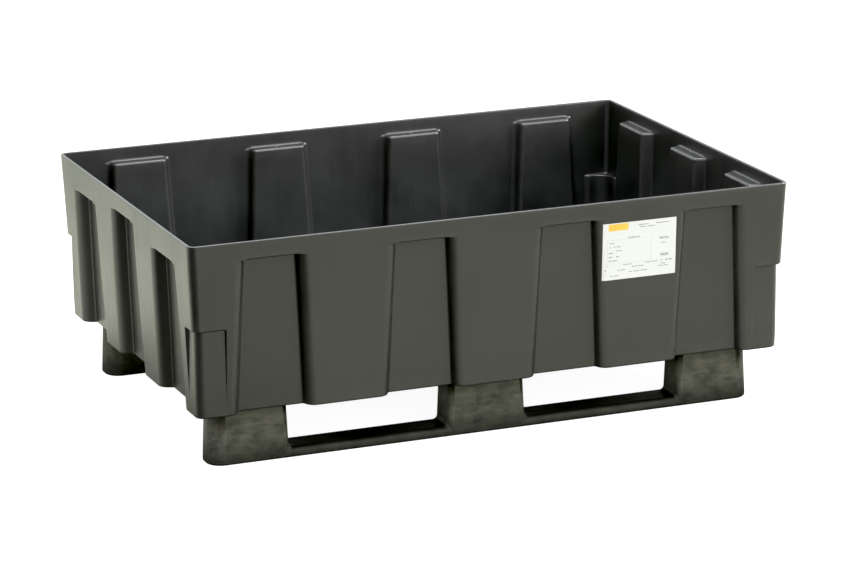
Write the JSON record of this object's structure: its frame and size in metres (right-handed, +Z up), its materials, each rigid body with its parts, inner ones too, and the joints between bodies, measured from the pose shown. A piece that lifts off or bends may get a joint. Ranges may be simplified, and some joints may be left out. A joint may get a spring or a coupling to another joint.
{
  "type": "spill containment pallet",
  "caption": "Rectangular plastic sump tub with fluted walls on two moulded runners, open on top, with fork openings, for catching leaks under drums and cans.",
  "frame": {"origin": "on the floor, midway along and across the pallet", "axes": "+X along the long side, +Y from the labelled side to the opposite long side, +Z up"},
  "size_m": [1.24, 0.84, 0.45],
  "materials": {
    "tub": "formed polyethylene sheet, fine satin grain",
    "runner": "moulded recycled plastic, streaky and dull",
    "weld_pad": "machined polyethylene plate",
    "label": "printed film, satin",
    "insert": "yellow passivated steel",
    "washer": "stainless steel",
    "screw": "stainless steel"
  },
  "bodies": {
    "root": {"tub": "tub", "label": "label", "front_runner": "runner", "rear_runner": "runner", "front_weld_pads": "weld_pad", "rear_weld_pads": "weld_pad", "front_threaded_inserts": "insert", "rear_threaded_inserts": "insert", "front_washers": "washer", "rear_washers": "washer", "front_screws": "screw", "rear_screws": "screw"}
  },
  "joints": []
}
